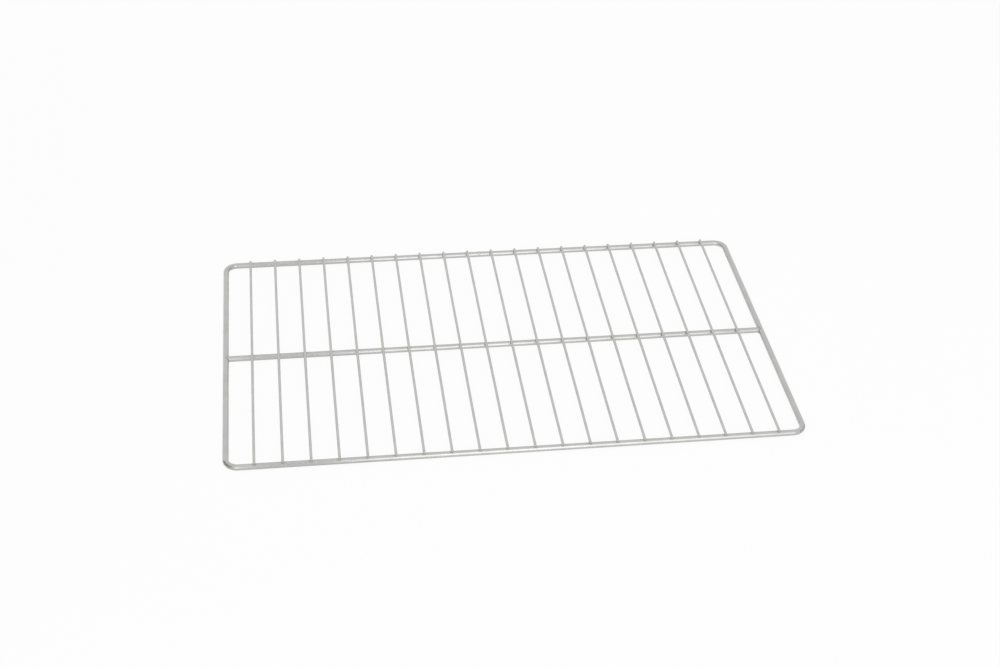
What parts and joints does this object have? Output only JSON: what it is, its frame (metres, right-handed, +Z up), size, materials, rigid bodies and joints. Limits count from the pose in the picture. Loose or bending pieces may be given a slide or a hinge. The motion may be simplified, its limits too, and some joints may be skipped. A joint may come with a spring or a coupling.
{
  "type": "wire rack",
  "caption": "Flat welded wire rack: a bent round-wire frame with a centre bar and thin cross wires welded on top, made to slide on runners in an oven or cooled cabinet.",
  "frame": {"origin": "middle of the footprint, on the surface the rack rests on, under the frame wire", "axes": "+X along the length, from the left side bar to the right one; +Y from the front bar to the back bar, which holds the butt weld; +Z up, towards the thin cross wires"},
  "size_m": [0.53, 0.325, 0.0076],
  "materials": {
    "heavy_wire": "bright drawn steel wire, electropolished, with faint lengthwise drawing lines",
    "thin_wire": "bright drawn steel wire, electropolished, thinner than the frame wire"
  },
  "bodies": {
    "root": {"frame": "heavy_wire", "centre_bar": "heavy_wire", "cross_wire_01": "thin_wire", "cross_wire_02": "thin_wire", "cross_wire_03": "thin_wire", "cross_wire_04": "thin_wire", "cross_wire_05": "thin_wire", "cross_wire_06": "thin_wire", "cross_wire_07": "thin_wire", "cross_wire_08": "thin_wire", "cross_wire_09": "thin_wire", "cross_wire_10": "thin_wire", "cross_wire_11": "thin_wire", "cross_wire_12": "thin_wire", "cross_wire_13": "thin_wire", "cross_wire_14": "thin_wire", "cross_wire_15": "thin_wire", "cross_wire_16": "thin_wire", "cross_wire_17": "thin_wire", "cross_wire_18": "thin_wire", "cross_wire_19": "thin_wire", "cross_wire_20": "thin_wire"}
  },
  "joints": []
}
